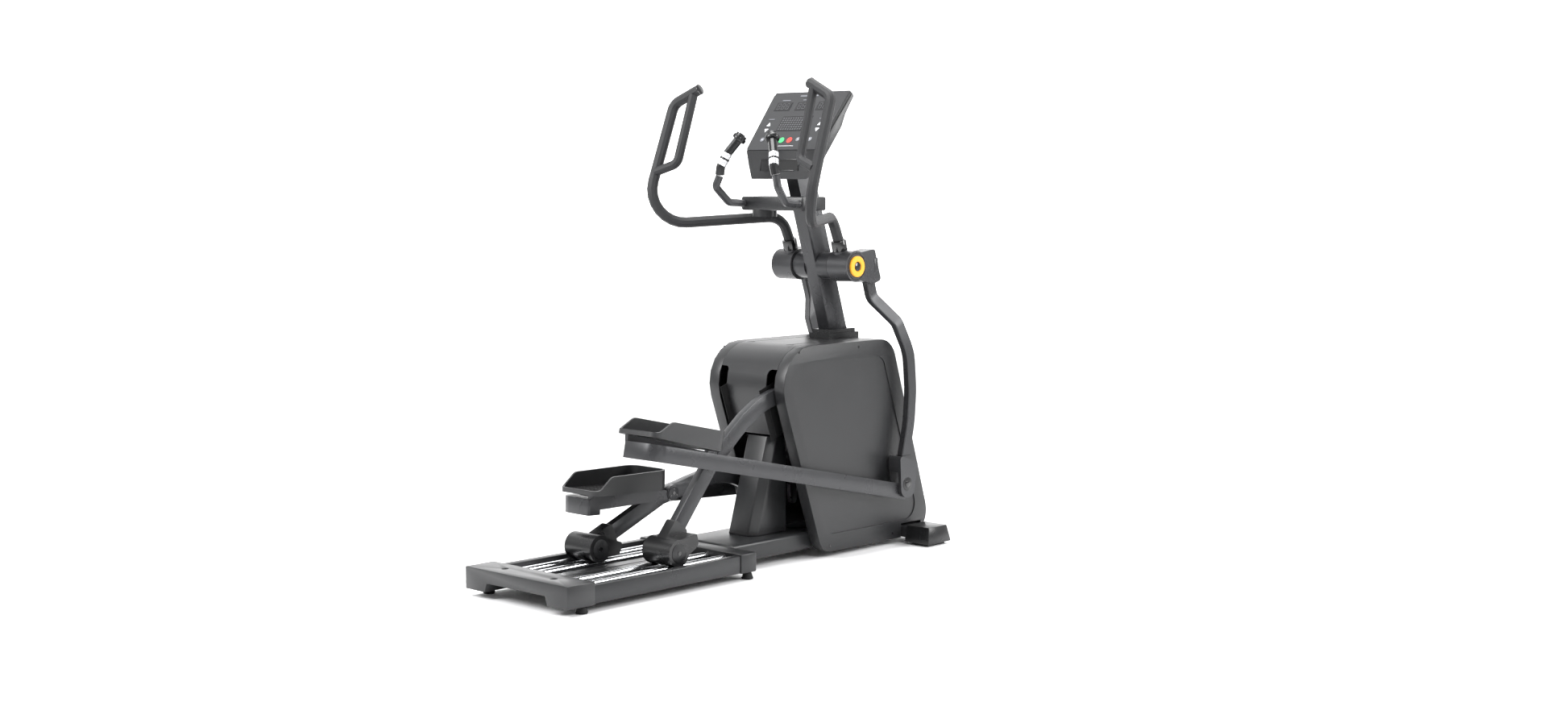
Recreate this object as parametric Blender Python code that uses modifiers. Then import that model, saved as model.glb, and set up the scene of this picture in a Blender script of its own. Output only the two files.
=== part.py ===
# Elliptical trainer, metres, +X is the front of the machine (flywheel end), +Y its left, +Z up, floor at Z = 0.
import bpy
import bmesh
import math
from mathutils import Vector, Matrix

# ---------------------------------------------------------------- driving dimensions
SHIFT = 0.0504           # layout X of the middle of the machine
LEFT, RIGHT = 1, -1      # sign of Y for each side
GAP = 0.0003             # fit gap between pieces that touch
# base
REAR_X0, REAR_X1 = -0.907, -0.787
BASE_HALF = 0.261
TRACK_Y = (0.090, 0.172)
TRACK_R, TRACK_Z = 0.0125, 0.0725
CROSS_X0, CROSS_X1 = -0.105, -0.0275
# drive
CRANK = (0.528, 0.415)
CRANK_R = 0.235
CRANK_LEAN = math.atan2(0.235, -0.008)
FLY = (0.800, 0.250)
PULLEY_R, BOSS_R = 0.140, 0.022
# support arms
ROLLER_Z = 0.125
ROLLER_X = {RIGHT: -0.345, LEFT: -0.474}
ARM_TURN = {RIGHT: 0.0, LEFT: -28.13}      # degrees, about the roller
ARM_DIR = 50.7                              # slope of the roller arm before ARM_TURN
ARM_Y0, ARM_Y1, ARM_H = 0.104, 0.134, 0.0285
FLANGE_LOCAL = (0.260, 0.310)
DRUM_R, ROLLER_R = 0.048, 0.0397
# pedals: heel bottom corner, tilt (front up positive)
PEDAL = {RIGHT: (-0.500, 0.545, -14.35), LEFT: (-0.505, 0.313, -2.5)}
PEDAL_Y0, PEDAL_Y1, PEDAL_L, PEDAL_WALL = 0.045, 0.245, 0.350, 0.073
# link bars: point on the centre line at the rear end, slope
LINK = {RIGHT: (-0.475, 0.487, -12.15), LEFT: (-0.475, 0.269, -2.55)}
LINK_Y0, LINK_Y1, LINK_H = 0.2125, 0.2465, 0.0285
LINK_FRONT = {RIGHT: 0.815, LEFT: 0.838}
# handlebars
HUB = (0.585, 1.077)
HUB_R, HUB_Y0, HUB_Y1 = 0.058, 0.0895, 0.190
BORE_R, AXLE_R = 0.0168, 0.0160
BAR_TURN = {RIGHT: 0.0, LEFT: 1.5}          # degrees about the hub, lower end forward
# mast
MAST_HALF, MAST_DEEP = 0.028, 0.0475
MAST_LO, MAST_HI = (0.667, 0.830), (0.474, 1.440)
# shroud
SHELL_HALF, PANEL_Y0, PANEL_Y1 = 0.1405, 0.141, 0.190
SHROUD = [(0.128, 0.797), (0.398, 0.022), (1.041, 0.022), (0.793, 0.797)]
SHROUD_R = [0.15, 0.07, 0.09, 0.09]
INSET = [(0.205, 0.742), (0.420, 0.088), (0.960, 0.088), (0.740, 0.735)]
INSET_R = [0.10, 0.05, 0.06, 0.05]

# ---------------------------------------------------------------- clear the scene
for ob in list(bpy.data.objects):
    bpy.data.objects.remove(ob, do_unlink=True)
for col in list(bpy.data.collections):
    bpy.data.collections.remove(col)
scene = bpy.context.scene
PARTS = bpy.data.collections.new("elliptical_trainer")
CUTS = bpy.data.collections.new("cutters")
scene.collection.children.link(PARTS)
scene.collection.children.link(CUTS)
CUTS.hide_render = True
count = [0]


# ---------------------------------------------------------------- helpers
def new_object(name, me, cutter=False):
    ob = bpy.data.objects.new(name, me)
    if cutter:
        ob.display_type = 'WIRE'
        ob.hide_render = True
        CUTS.objects.link(ob)
    else:
        PARTS.objects.link(ob)
    return ob


def tool(me):
    count[0] += 1
    return new_object("tool_%03d" % count[0], me, cutter=True)


def clean(me):
    bm = bmesh.new()
    bm.from_mesh(me)
    bmesh.ops.remove_doubles(bm, verts=bm.verts[:], dist=0.00002)
    bmesh.ops.recalc_face_normals(bm, faces=bm.faces[:])
    bm.to_mesh(me)
    bm.free()
    return me


def curve_mesh(cu, matrix):
    ob = bpy.data.objects.new("curve_tmp", cu)
    CUTS.objects.link(ob)
    bpy.context.view_layer.update()
    dg = bpy.context.evaluated_depsgraph_get()
    me = bpy.data.meshes.new_from_object(ob.evaluated_get(dg))
    bpy.data.objects.remove(ob, do_unlink=True)
    me.transform(matrix)
    return clean(me)


def flat(loops, depth):
    cu = bpy.data.curves.new("outline", 'CURVE')
    cu.dimensions = '2D'
    cu.fill_mode = 'BOTH'
    cu.resolution_u = 1
    for pts in loops:
        sp = cu.splines.new('POLY')
        sp.points.add(len(pts) - 1)
        for p, (u, v) in zip(sp.points, pts):
            p.co = (u, v, 0.0, 1.0)
        sp.use_cyclic_u = True
    cu.extrude = depth / 2
    return cu


def plate_xz(loops, y0, y1):
    """Outline(s) given as (X, Z), running from y0 to y1."""
    loops = loops if isinstance(loops[0][0], tuple) else [loops]
    m = Matrix.Translation((0, (y0 + y1) / 2, 0)) @ Matrix.Rotation(math.pi / 2, 4, 'X')
    return curve_mesh(flat(loops, abs(y1 - y0)), m)


def plate_xy(pts, z0, z1):
    return curve_mesh(flat([pts], abs(z1 - z0)), Matrix.Translation((0, 0, (z0 + z1) / 2)))


def plate_yz(pts, x0, x1):
    """Outline given as (Y, Z), running from x0 to x1."""
    m = Matrix(((0, 0, 1, (x0 + x1) / 2), (1, 0, 0, 0), (0, 1, 0, 0), (0, 0, 0, 1)))
    return curve_mesh(flat([pts], abs(x1 - x0)), m)


def box(x0, x1, y0, y1, z0, z1):
    bm = bmesh.new()
    bmesh.ops.create_cube(bm, size=1.0)
    for v in bm.verts:
        v.co = Vector((x0 + (x1 - x0) * (v.co.x + 0.5), min(y0, y1) + abs(y1 - y0) * (v.co.y + 0.5),
                       z0 + (z1 - z0) * (v.co.z + 0.5)))
    me = bpy.data.meshes.new("box")
    bm.to_mesh(me)
    bm.free()
    return me


def rod(p0, p1, r, n=24, r2=None):
    p0, p1 = Vector(p0), Vector(p1)
    bm = bmesh.new()
    bmesh.ops.create_cone(bm, cap_ends=True, segments=n, radius1=r, radius2=r if r2 is None else r2,
                          depth=(p1 - p0).length)
    me = bpy.data.meshes.new("rod")
    bm.to_mesh(me)
    bm.free()
    q = (p1 - p0).to_track_quat('Z', 'Y').to_matrix().to_4x4()
    me.transform(Matrix.Translation((p0 + p1) / 2) @ q)
    return me


def turned(profile, x, z, n=32, closed=False):
    """Turned about an axis along Y. profile is (radius, y) along the outline."""
    bm = bmesh.new()
    vs = [bm.verts.new((r, 0.0, y)) for r, y in profile]
    for a, b in zip(vs, vs[1:]):
        bm.edges.new((a, b))
    if closed:
        bm.edges.new((vs[-1], vs[0]))
    me = bpy.data.meshes.new("profile")
    bm.to_mesh(me)
    bm.free()
    ob = bpy.data.objects.new("turn_tmp", me)
    CUTS.objects.link(ob)
    sc = ob.modifiers.new("turn", 'SCREW')
    sc.axis = 'Z'
    sc.angle = 2 * math.pi
    sc.steps = n
    sc.render_steps = n
    sc.use_merge_vertices = True
    sc.merge_threshold = 0.00005
    bpy.context.view_layer.update()
    dg = bpy.context.evaluated_depsgraph_get()
    out = bpy.data.meshes.new_from_object(ob.evaluated_get(dg))
    bpy.data.objects.remove(ob, do_unlink=True)
    out.transform(Matrix.Translation((x, 0, z)) @ Matrix.Rotation(-math.pi / 2, 4, 'X'))
    return clean(out)


def tube(pts, r, res=3):
    cu = bpy.data.curves.new("tube", 'CURVE')
    cu.dimensions = '3D'
    cu.bevel_depth = r
    cu.bevel_resolution = res
    cu.use_fill_caps = True
    cu.resolution_u = 1
    cu.render_resolution_u = 0
    sp = cu.splines.new('POLY')
    sp.points.add(len(pts) - 1)
    for p, co in zip(sp.points, pts):
        p.co = (co[0], co[1], co[2], 1.0)
    return curve_mesh(cu, Matrix.Identity(4))


def loft(rings):
    """Skin over rings with equal point counts, capped at both ends."""
    bm = bmesh.new()
    rows = [[bm.verts.new(p) for p in ring] for ring in rings]
    n = len(rows[0])
    for a, b in zip(rows, rows[1:]):
        for i in range(n):
            j = (i + 1) % n
            bm.faces.new((a[i], a[j], b[j], b[i]))
    bm.faces.new(rows[0])
    bm.faces.new(rows[-1])
    bmesh.ops.recalc_face_normals(bm, faces=bm.faces[:])
    me = bpy.data.meshes.new("loft")
    bm.to_mesh(me)
    bm.free()
    return me


def rounded(pts, radii, n=5):
    """Polygon with filleted corners."""
    if not isinstance(radii, (list, tuple)):
        radii = [radii] * len(pts)
    out = []
    for i, p in enumerate(pts):
        a, b, c = Vector(pts[i - 1]), Vector(p), Vector(pts[(i + 1) % len(pts)])
        r = radii[i]
        if r <= 0.0002:
            out.append((b.x, b.y))
            continue
        u, v = (a - b).normalized(), (c - b).normalized()
        half = math.acos(max(-1, min(1, u.dot(v)))) / 2
        t = r / math.tan(half)
        centre = b + (u + v).normalized() * (r / math.sin(half))
        s, e = b + u * t - centre, b + v * t - centre
        a0, a1 = math.atan2(s.y, s.x), math.atan2(e.y, e.x)
        d = (a1 - a0 + math.pi) % (2 * math.pi) - math.pi
        for k in range(n + 1):
            ang = a0 + d * k / n
            out.append((centre.x + r * math.cos(ang), centre.y + r * math.sin(ang)))
    return out


def offset(pts, radii, d):
    """Move every side of a polygon inwards by d (outwards if negative)."""
    area = sum(pts[i - 1][0] * pts[i][1] - pts[i][0] * pts[i - 1][1] for i in range(len(pts)))
    sgn = 1 if area > 0 else -1
    out = []
    for i in range(len(pts)):
        a, b, c = Vector(pts[i - 1]), Vector(pts[i]), Vector(pts[(i + 1) % len(pts)])
        u, v = (b - a).normalized(), (c - b).normalized()
        n1, n2 = Vector((-u.y, u.x)) * sgn, Vector((-v.y, v.x)) * sgn
        k = d / (1 + n1.dot(n2))
        out.append(tuple(b + (n1 + n2) * k))
    return out, [max(r - d, 0.004) for r in radii]


def belt(c1, r1, c2, r2, n=16):
    """Outline round two circles joined by their outer tangents."""
    c1, c2 = Vector(c1), Vector(c2)
    base = math.atan2(c2.y - c1.y, c2.x - c1.x)
    a = math.acos((r1 - r2) / (c2 - c1).length)
    out = []
    for k in range(n + 1):
        t = base + a + (2 * math.pi - 2 * a) * k / n
        out.append((c1.x + r1 * math.cos(t), c1.y + r1 * math.sin(t)))
    for k in range(n // 2 + 1):
        t = base - a + 2 * a * k / (n // 2)
        out.append((c2.x + r2 * math.cos(t), c2.y + r2 * math.sin(t)))
    return out


def path(points, radii, n=6):
    """3-D polyline with filleted corners."""
    out = [Vector(points[0])]
    for i in range(1, len(points) - 1):
        a, b, c = (Vector(points[i + k]) for k in (-1, 0, 1))
        r = radii[i - 1]
        u, v = (a - b).normalized(), (c - b).normalized()
        half = u.angle(v) / 2
        if r <= 0 or half > 1.5:
            out.append(b)
            continue
        t = r / math.tan(half)
        centre = b + (u + v).normalized() * (r / math.sin(half))
        s, e = b + u * t - centre, b + v * t - centre
        ang = s.angle(e)
        for k in range(n + 1):
            w = k / n
            q = (s * math.sin((1 - w) * ang) + e * math.sin(w * ang)) / math.sin(ang)
            out.append(centre + q)
    out.append(Vector(points[-1]))
    return out


def ribbon(line, h, end=True):
    """Outline of constant half-height h round a planar centre line, far end rounded."""
    line = [Vector(p) for p in line]
    top, low = [], []
    for i, p in enumerate(line):
        a, b = line[max(i - 1, 0)], line[min(i + 1, len(line) - 1)]
        t = (b - a).normalized()
        nrm = Vector((-t.y, t.x))
        top.append(tuple(p + nrm * h))
        low.append(tuple(p - nrm * h))
    cap = []
    if end:
        t = (line[-1] - line[-2]).normalized()
        base = math.atan2(t.y, t.x)
        for k in range(1, 8):
            ang = base + math.pi / 2 - math.pi * k / 8
            cap.append((line[-1].x + h * math.cos(ang), line[-1].y + h * math.sin(ang)))
    return top + cap + low[::-1]


def turn2(p, deg, about=(0.0, 0.0)):
    a = math.radians(deg)
    x, z = p[0] - about[0], p[1] - about[1]
    return (about[0] + x * math.cos(a) - z * math.sin(a), about[1] + x * math.sin(a) + z * math.cos(a))


def pitch(me, deg, about):
    """Turn a mesh in the X-Z plane, front up positive."""
    t = Matrix.Translation((about[0], 0, about[1]))
    me.transform(t @ Matrix.Rotation(-math.radians(deg), 4, 'Y') @ t.inverted())
    return me


def part(name, me):
    return new_object(name, me)


def boolean(ob, me, op):
    cutter = tool(me)
    m = ob.modifiers.new(op.lower() + "_" + cutter.name, 'BOOLEAN')
    m.operation = op
    m.solver = 'EXACT'
    m.object = cutter
    return ob


def cut(ob, me):
    return boolean(ob, me, 'DIFFERENCE')


def add(ob, me):
    return boolean(ob, me, 'UNION')


def bevel(ob, w, seg=2, angle=35):
    m = ob.modifiers.new("edge", 'BEVEL')
    m.width = w
    m.segments = seg
    m.limit_method = 'ANGLE'
    m.angle_limit = math.radians(angle)
    return ob


def side_name(base, s):
    return base + ("_left" if s == LEFT else "_right")


def ys(s, a, b):
    return (s * a, s * b) if s > 0 else (s * b, s * a)


def mast_edge(off, z):
    """Point at height z on the mast's centre line moved sideways by off."""
    lo, hi = Vector(MAST_LO), Vector(MAST_HI)
    d = (hi - lo).normalized()
    nrm = Vector((d.y, -d.x))
    p = lo + nrm * off
    return tuple(p + d * ((z - p.y) / d.y))


# ---------------------------------------------------------------- base frame
ob = part("rear_housing", box(REAR_X0, REAR_X1, -BASE_HALF, BASE_HALF, 0.025, 0.102))
cut(ob, plate_yz([(-0.170, 0.0), (-0.148, 0.056), (0.148, 0.056), (0.170, 0.0)], -0.95, -0.812))
for s in (LEFT, RIGHT):
    cut(ob, rod((-0.846, s * 0.125, 0.096), (-0.846, s * 0.125, 0.12), 0.012, 16))
bevel(ob, 0.006)
for s in (LEFT, RIGHT):
    ob = part(side_name("side_rail", s), box(REAR_X1 + GAP, CROSS_X0 - GAP, *ys(s, 0.225, 0.2575), 0.028, 0.090))
    bevel(ob, 0.004)
part("deck_pan", plate_yz([(-0.2245, 0.036), (0.2245, 0.036), (0.2245, 0.050), (0.050, 0.050), (0.045, 0.072),
                           (-0.045, 0.072), (-0.050, 0.050), (-0.2245, 0.050)], REAR_X1 + GAP, CROSS_X0 - GAP))
for s in (LEFT, RIGHT):
    for tag, y in (("inner", TRACK_Y[0]), ("outer", TRACK_Y[1])):
        part(side_name("track_" + tag, s), rod((REAR_X1 + GAP, s * y, TRACK_Z), (CROSS_X0 - GAP, s * y, TRACK_Z),
                                               TRACK_R, 28))
ob = part("front_crossbar", box(CROSS_X0, CROSS_X1, -BASE_HALF, BASE_HALF, 0.026, 0.096))
bevel(ob, 0.006)
ob = part("base_spine", box(CROSS_X1 + GAP, 0.400, -0.1395, 0.1395, 0.033, 0.100))
bevel(ob, 0.012, 3)
ob = part("rear_leg", loft([[(x0, -0.048, z), (x0 + 0.032, -0.070, z), (0.330, -0.070, z), (0.330, 0.070, z),
                             (x0 + 0.032, 0.070, z), (x0, 0.048, z)] for x0, z in ((0.145, 0.100 + GAP), (0.250, 0.460))]))
bevel(ob, 0.004)
for tag, x in (("rear", -0.825), ("middle", -0.051)):
    for s in (LEFT, RIGHT):
        z1 = (0.025 if tag == "rear" else 0.026) - GAP
        part(side_name("levelling_foot_" + tag, s), turned([(0.0, z1), (0.014, z1), (0.018, 0.012), (0.021, 0.004),
                                                            (0.019, 0.0), (0.0, 0.0)], 0, 0, 20))
        ob = PARTS.objects[side_name("levelling_foot_" + tag, s)]
        ob.data.transform(Matrix.Translation((x, s * 0.237, 0)) @ Matrix.Rotation(math.pi / 2, 4, 'X'))
ob = part("front_foot_bar", box(0.862, 0.962, -0.2145, 0.2145, 0.022, 0.066))
bevel(ob, 0.005)
for s in (LEFT, RIGHT):
    lo = [(0.842, 0.2148), (0.982, 0.2148), (0.982, 0.335), (0.842, 0.335)]
    hi = [(0.856, 0.2148), (0.967, 0.2148), (0.967, 0.325), (0.856, 0.325)]
    ob = part(side_name("foot_cap", s), loft([[(x, s * y, 0.010) for x, y in lo], [(x, s * y, 0.074) for x, y in hi]]))
    bevel(ob, 0.005)
    add(ob, box(0.862, 0.962, *ys(s, 0.236, 0.316), 0.0, 0.014))

# ---------------------------------------------------------------- welded inner frame
ob = part("inner_frame", box(0.4005, 0.8615, -0.040, 0.070, 0.050, 0.090))
add(ob, box(0.690, 0.750, 0.030, 0.070, 0.070, 0.770))
add(ob, box(0.640, 0.740, -0.030, 0.070, 0.745, 0.780))
add(ob, box(0.495, 0.700, 0.030, 0.070, 0.385, 0.445))
add(ob, box(0.740, 0.830, 0.030, 0.070, 0.225, 0.275))
add(ob, rod((FLY[0], 0.040, FLY[1]), (FLY[0], -0.052, FLY[1]), 0.008, 16))
cut(ob, rod((CRANK[0], 0.0, CRANK[1]), (CRANK[0], 0.1, CRANK[1]), 0.0130, 20))

# ---------------------------------------------------------------- drive train
part("crank_axle", rod((CRANK[0], -0.080 + GAP, CRANK[1]), (CRANK[0], 0.080 - GAP, CRANK[1]), 0.012, 24))
part("drive_pulley", turned([(0.0124, -0.045), (0.140, -0.045), (0.140, -0.025), (0.124, -0.025), (0.120, -0.031),
                             (0.040, -0.031), (0.036, -0.020), (0.0124, -0.020)], CRANK[0], CRANK[1], 48, True))
for s in (LEFT, RIGHT):
    lean = CRANK_LEAN if s == RIGHT else CRANK_LEAN + math.pi
    pin = (CRANK[0] + CRANK_R * math.cos(lean), CRANK[1] + CRANK_R * math.sin(lean))
    ob = part(side_name("crank_arm", s), plate_xz(belt(CRANK, 0.028, pin, 0.0165), *ys(s, 0.080, 0.099)))
    add(ob, rod((pin[0], s * 0.090, pin[1]), (pin[0], s * 0.1025, pin[1]), 0.009, 16))
part("flywheel", turned([(0.0087, -0.018), (0.0087, -0.047), (0.022, -0.047), (0.022, -0.022), (0.085, -0.014),
                         (0.090, -0.018), (0.110, -0.018), (0.110, 0.018), (0.090, 0.018), (0.085, 0.014),
                         (0.022, 0.022), (0.0087, 0.022)], FLY[0], FLY[1], 40, True))
part("drive_belt", plate_xz([belt(CRANK, PULLEY_R + 0.0036, FLY, BOSS_R + 0.0036, 32),
                             belt(CRANK, PULLEY_R + 0.0006, FLY, BOSS_R + 0.0006, 32)], -0.043, -0.027))

# ---------------------------------------------------------------- shroud
outer = rounded(SHROUD, SHROUD_R, 6)
ip, ir = offset(SHROUD, SHROUD_R, 0.004)
mast_hole = [mast_edge(-MAST_DEEP - 0.0005, 0.70), mast_edge(MAST_DEEP + 0.0005, 0.70),
             mast_edge(MAST_DEEP + 0.0005, 1.40), mast_edge(-MAST_DEEP - 0.0005, 1.40)]
mast_half = MAST_HALF + 0.0005
ob = part("shroud_centre", plate_xz([outer, rounded(ip, ir, 6)], -SHELL_HALF, SHELL_HALF))
cut(ob, box(0.0, 0.985, -0.2, 0.2, -0.05, 0.075))
cut(ob, box(0.0, 0.600, -0.2, 0.2, 0.05, 0.468))
for s in (LEFT, RIGHT):
    lo, hi = ys(s, 0.099, 0.160)
    slot = [(lo, 0.40), (hi, 0.40), (hi, 0.714), (lo, 0.714)]
    cut(ob, plate_yz(rounded(slot, [0, 0, 0.0, 0.018] if s == LEFT else [0, 0, 0.018, 0.0]), 0.0, 0.45))
cut(ob, plate_xz(mast_hole, -mast_half, mast_half))
pp, pr = offset(SHROUD, SHROUD_R, 0.0045)
for s in (LEFT, RIGHT):
    ob = part(side_name("side_panel", s), plate_xz(outer, *ys(s, PANEL_Y0, PANEL_Y1)))
    bevel(ob, 0.010, 3, 60)
    cut(ob, plate_xz(rounded(pp, pr, 6), *ys(s, 0.120, 0.182)))
    cut(ob, plate_xz(rounded(INSET, INSET_R, 6), *ys(s, 0.1865, 0.21)))
    cut(ob, box(0.852, 0.972, *ys(s, 0.12, 0.22), 0.0, 0.076))

# ---------------------------------------------------------------- mast, collar, pivot axle
console_back = ((0.389, 1.420), (0.517, 1.593))
mast = [mast_edge(-MAST_DEEP, 0.7805), mast_edge(MAST_DEEP, 0.7805), (0.4885, 1.5523), (0.4187, 1.4580)]
ob = part("mast", plate_xz(mast, -MAST_HALF, MAST_HALF))
cut(ob, rod((HUB[0], -0.1, HUB[1]), (HUB[0], 0.1, HUB[1]), AXLE_R + 0.0003, 24))
bevel(ob, 0.012, 3, 60)
ob = part("mast_collar", box(0.590, 0.760, -0.050, 0.050, 0.770, 0.818))
add(ob, box(0.600, 0.748, -0.042, 0.042, 0.810, 0.832))
op_, or_ = offset(SHROUD, SHROUD_R, -0.0004)
cut(ob, plate_xz(rounded(op_, or_, 6), -0.1, 0.1))
cut(ob, plate_xz(mast_hole, -mast_half, mast_half))
part("pivot_axle", turned([(0.0, -0.1945), (AXLE_R, -0.1945), (AXLE_R, -0.0890), (0.047, -0.0890), (0.050, -0.086),
                           (0.050, -0.0288), (AXLE_R, -0.0288), (AXLE_R, 0.0288), (0.050, 0.0288), (0.050, 0.086),
                           (0.047, 0.0890), (AXLE_R, 0.0890), (AXLE_R, 0.1945), (0.0, 0.1945)], HUB[0], HUB[1], 32))

# ---------------------------------------------------------------- tray, fixed grips, console
ob = part("tray", box(0.325, 0.456, -0.155, 0.155, 1.286, 1.337))
bevel(ob, 0.007)
add(ob, rod((0.372, 0.078, 1.262), (0.372, 0.078, 1.336), 0.046, 32))
cut(ob, plate_xy(rounded([(0.332, -0.148), (0.440, -0.148), (0.440, 0.148), (0.332, 0.148)], 0.012, 3), 1.318, 1.36))
cut(ob, rod((0.372, 0.078, 1.266), (0.372, 0.078, 1.36), 0.0400, 32))
for s in (LEFT, RIGHT):
    part(side_name("fixed_grip", s), tube(path([(0.322, s * 0.139, 1.311), (0.248, s * 0.143, 1.316),
                                                (0.192, s * 0.157, 1.374), (0.199, s * 0.142, 1.413)],
                                               [0.03, 0.02], 5), 0.0145))
    end = Vector((0.242, s * 0.084, 1.549))
    last = Vector((0.215, s * 0.116, 1.497))
    d = (end - last).normalized()
    start = Vector((0.199, s * 0.142, 1.413))
    up = (Vector((0.195, s * 0.134, 1.447)) - start).normalized()
    ob = part(side_name("grip_handle", s), tube(path([start + up * 0.0055, (0.196, s * 0.134, 1.447), last, end],
                                                     [0.03, 0.05], 4), 0.017))
    add(ob, rod(end - d * 0.004, end + d * 0.018, 0.0215, 24))
    cut(ob, rod(end + d * 0.011, end + d * 0.03, 0.0125, 24))
    ob = part(side_name("grip_button", s), rod(end + d * 0.0135, end + d * 0.0215, 0.0120, 24))
    bevel(ob, 0.001)

face_top, face_low, chin = Vector((0.549, 1.728)), Vector((0.371, 1.507)), Vector((0.362, 1.403))
fdir = (face_top - face_low).normalized()
fn = Vector((fdir.y, -fdir.x))            # points to the back of the console


def console_ring(p, back, half, lift=0.0025):
    p = p + fn * lift
    f = [(p.x, -half, p.y), (p.x, half, p.y)]
    q = Vector(back)
    c = 0.012
    m = (q - p).normalized() * c
    return [(p.x + m.x, -half, p.y + m.y), (p.x, -half + c * 0.5, p.y), (p.x, half - c * 0.5, p.y), (p.x + m.x, half, p.y + m.y),
            (q.x - m.x, half, q.y - m.y), (q.x, half - c, q.y), (q.x, -half + c, q.y), (q.x - m.x, -half, q.y - m.y)]


ob = part("console_body", loft([
    console_ring(face_top, (0.5735, 1.698), 0.191), console_ring(face_top.lerp(face_low, 0.3), (0.535, 1.639), 0.188),
    console_ring(face_top.lerp(face_low, 0.55), (0.517, 1.593), 0.1855),
    console_ring(face_low, (0.4285, 1.4735), 0.178), console_ring(face_low.lerp(chin, 0.5), (0.402, 1.4378), 0.163),
    console_ring(chin, (0.389, 1.420), 0.144)]))
pts = []
me = plate_xy(rounded([(0.003, -0.1745), (0.278, -0.1860), (0.278, 0.1860), (0.003, 0.1745)], [0.010, 0.016, 0.016, 0.010], 4),
              0.0002, 0.0024)
basis = Matrix(((fdir.x, 0, -fn.x, face_low.x + fn.x * 0.0025), (0, 1, 0, 0),
                (fdir.y, 0, -fn.y, face_low.y + fn.y * 0.0025), (0, 0, 0, 1)))
me.transform(basis)
part("console_overlay", clean(me))

# ---------------------------------------------------------------- handlebars and their lower arms
for s in (LEFT, RIGHT):
    bar_turn = BAR_TURN[s]

    def H(me):
        return pitch(me, bar_turn, HUB)

    ob = part(side_name("lower_arm", s), H(rod((HUB[0], s * HUB_Y0, HUB[1]), (HUB[0], s * HUB_Y1, HUB[1]), HUB_R, 36)))
    blk = rounded([(0.585, 1.125), (0.691, 1.140), (0.729, 1.022), (0.690, 1.010), (0.600, 1.025)], [0.0, 0.010, 0.012, 0.010, 0.0], 3)
    add(ob, H(plate_xz(blk, *ys(s, 0.125, 0.1893))))
    line = path([(0.683, 0.157, 1.045), (0.711, 0.157, 0.955), (0.779, 0.224, 0.862), (0.8345, 0.237, 0.745),
                 (0.8475, 0.237, 0.600), (0.838, 0.237, 0.475), (0.804, 0.237, 0.338)], [0.05, 0.06, 0.20, 0.40, 0.40], 3)
    rings = []
    for i, p in enumerate(line):
        a, b = line[max(i - 1, 0)], line[min(i + 1, len(line) - 1)]
        t = (b - a).normalized()
        nx = Vector((-t.z, 0, t.x)).normalized()
        hx, hy, c = 0.0225, 0.014, 0.003
        ring = []
        for ux, uy in ((-hx, -hy + c), (-hx, hy - c), (-hx + c, hy), (hx - c, hy), (hx, hy - c), (hx, -hy + c),
                       (hx - c, -hy), (-hx + c, -hy)):
            q = p + nx * ux
            ring.append((q.x, s * (q.y + uy), q.z))
        rings.append(ring)
    add(ob, H(loft(rings)))
    yoke = rounded([(0.760, 0.356), (0.866, 0.322), (0.840, 0.186), (0.768, 0.196)], [0.012, 0.012, 0.034, 0.034], 4)
    add(ob, H(plate_xz(yoke, *ys(s, 0.2045, 0.262))))
    cut(ob, H(plate_xz(rounded([(0.70, 0.10), (0.92, 0.10), (0.92, 0.290), (0.70, 0.290)], 0), *ys(s, 0.2110, 0.2480))))
    u = Vector((0.562 - HUB[0], 0, 1.159 - HUB[1])).normalized()
    c0 = Vector((HUB[0], s * 0.124, HUB[1]))
    add(ob, H(rod(c0 + u * 0.030, c0 + u * 0.085, 0.027, 28)))
    cut(ob, H(rod((HUB[0], s * 0.05, HUB[1]), (HUB[0], s * 0.25, HUB[1]), BORE_R, 24)))

    ob = part(side_name("handlebar", s), H(tube(
        path([tuple(c0 + u * (0.085 + GAP)), tuple(c0 + u * 0.100), (0.520, s * 0.125, 1.262), (0.058, s * 0.409, 1.243), (0.221, s * 0.387, 1.690),
              (0.241, s * 0.268, 1.743)], [0, 0.075, 0.12, 0.045], 8), 0.020, 3)))
    add(ob, H(tube(path([(0.124, s * 0.394, 1.440), (0.150, s * 0.304, 1.470), (0.2305, s * 0.293, 1.722)], [0.035], 5),
                   0.017, 3)))
    ob = part(side_name("hub_ring", s), H(turned([(0.018, s * (HUB_Y1 + GAP)), (0.039, s * (HUB_Y1 + GAP)), (0.039, s * 0.197),
                                                  (0.036, s * 0.200), (0.021, s * 0.200), (0.018, s * 0.197)],
                                                 HUB[0], HUB[1], 32, True)))

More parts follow.
